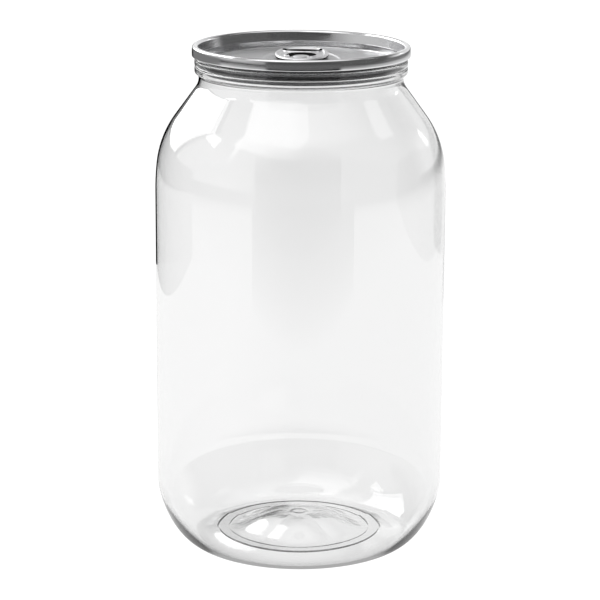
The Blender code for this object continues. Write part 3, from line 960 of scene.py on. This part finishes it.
def softbox(name, azimuth, elevation, distance, size, strength):
    """A rectangular area light that faces the jar."""
    light = bpy.data.lights.new(name, "AREA")
    light.shape = "RECTANGLE"
    light.size = size[0]
    light.size_y = size[1]
    light.energy = strength * math.pi * size[0] * size[1]
    lamp = bpy.data.objects.new(name, light)
    out = direction(azimuth, elevation)
    lamp.location = Vector((0, 0, LAMP_AIM)) + out * distance
    lamp.rotation_euler = out.to_track_quat("Z", "Y").to_euler()
    lamp.visible_camera = False
    lamp.visible_glossy = False
    bpy.context.scene.collection.objects.link(lamp)


def make_world():
    """The room as the jar and the end mirror it: bright behind, overhead and on the left, else dim."""
    world = bpy.data.worlds.new("studio")
    bpy.context.scene.world = world
    world.use_nodes = True
    tree = world.node_tree
    background = tree.nodes["Background"]
    along = coordinates(tree, tree.nodes.new("ShaderNodeTexCoord").outputs["Generated"])
    low = ranged(tree, along["Z"], 1.0, 0.15, 0.25, 0.5)
    behind = add_math(tree, "MULTIPLY", ranged(tree, along["Y"], 0.1, 0.9, 0.22, 0.5), low)
    overhead = ranged(tree, along["Z"], 0.0, 1.2, 0.72, 0.97)
    left = ranged(tree, along["X"], 0.6, 0.1, -0.9, -0.3)
    level = add_math(tree, "MAXIMUM", add_math(tree, "MAXIMUM", behind, left), overhead)
    tree.links.new(level, background.inputs["Color"])
    seen = surroundings(tree, background.outputs["Background"])
    tree.links.new(seen, tree.nodes["World Output"].inputs["Surface"])


def make_cards():
    """What the jar and the end reflect: dark cards in front and left, softboxes and windows round."""
    front_bands = (("front_card_foot", 0.0, 0.045, (0, 1), 0.02),
                   ("front_card_low", 0.045, 0.09, (1, 1), 0.02),
                   ("front_card_stripe", 0.09, 0.15, (1, 1), 0.12),
                   ("front_card", 0.15, 0.232, (1, 1), 0.07))
    for name, foot, top, solid, brightness in front_bands:
        card(name, upright(180, FRONT_CARD_DISTANCE, FRONT_CARD_SIDES, (foot, top), solid), brightness)
    card("left_flag", upright(-15, 0.25, (-0.06, 0.06), (0.03, 0.13)), 0.0)
    card("right_glow", patch([(46, 1, 46, 40, 0, 0), (36, 1, 36, 40, 1, 0.6),
                              (4, 1, 4, 40, 1, 0.4)], 1.6), 0.8)
    left_bands = (("left_card_low", 0.0, 0.065, 0.6), ("left_card", 0.065, 0.16, 0.2))
    for name, foot, top, brightness in left_bands:
        columns = upright(LEFT_CARD_AZIMUTH, LEFT_CARD_DISTANCE, LEFT_CARD_SIDES, (foot, top))
        card(name, columns, brightness)
    card("left_softbox", patch([(-22, 2, -30, 54, 1, 1), (-55, 7.5, -82, 41, 1, 1)]), 3.0)
    card("left_softbox_frame", patch([(-22, -1, -30, 55, 1, 1), (-58, 4, -86, 41, 1, 1)], 2.5), 0.03)
    card("left_window", patch([(-77, 32, -82, 38, 1, 1), (-95, 30, -94.5, 39, 1, 1)]), 3.0)
    card("left_strip", patch([(-116, 21, -115, 40, 0.3, 1), (-118, 21, -120, 40, 0.3, 1)]), 1.6)
    front = ((-111, 39, 0.8, 1), (-132, 38.5, 0.5, 1), (-151, 35, 0.3, 1), (-168, 34.4, 0.2, 1),
             (-185, 34.4, 0.06, 0.2), (-205, 35, 0.02, 0.04), (-230, 40, 0.02, 0.03),
             (-266, 47, 0.02, 0.03))
    card("front_softbox", patch([(turn, low, turn, 74, *solid) for turn, low, *solid in front]), 2.0)
    card("right_strip", patch([(75, 34, 75, 38, 1, 1), (92, 38, 92, 46, 1, 1)]), 0.8)
    card("right_window", patch([(45.5, 8, 47.5, 19, 1, 1), (50.5, 10, 51.5, 18, 1, 1)]), 2.5)


def make_camera():
    """A long lens in front of the jar, a little above it."""
    data = bpy.data.cameras.new("camera")
    data.sensor_width = 36.0
    data.lens = CAMERA_LENS
    data.clip_start = 0.01
    camera = bpy.data.objects.new("camera", data)
    camera.location = (0, -CAMERA_DISTANCE, CAMERA_HEIGHT)
    tilt = Matrix.Rotation(math.pi / 2 - CAMERA_TILT, 3, "X")
    camera.rotation_euler = (tilt @ Matrix.Rotation(CAMERA_ROLL, 3, "Z")).to_euler()
    bpy.context.scene.collection.objects.link(camera)
    bpy.context.scene.camera = camera


def main():
    """Build the three pieces and the studio round them."""
    make_jar(clear_plastic())
    # Near-black painted shade for cut edges, the tab's underside and sides, and the seam's fold.
    painted_shade_metal = dull_painted_shade("painted_shade_metal", PAINTED_SHADE_GREY)
    # The end's product face is painted dark grey, painted shade for the jar's dark inside.
    make_can_end(aluminium("end_aluminium", ALUMINIUM, 0.10, 0.2),
                 aluminium("end_lacquer_painted_shade", LACQUER_SHADE_GREY, 0.16, 0.28), painted_shade_metal)
    make_pull_tab(aluminium("tab_aluminium", TAB_ALUMINIUM, 0.08, 0.18), painted_shade_metal)
    make_floor()
    make_world()
    make_cards()
    softbox("overhead", -150, 70, 1.5, (1.0, 1.0), 1.5)
    make_camera()
    scene = bpy.context.scene
    scene.view_settings.view_transform = "Standard"
    # A ray that crosses the jar passes four walls, and many more along the heel and the neck.
    scene.cycles.transmission_bounces = 24
    scene.cycles.glossy_bounces = 12
    scene.cycles.max_bounces = 24


main()
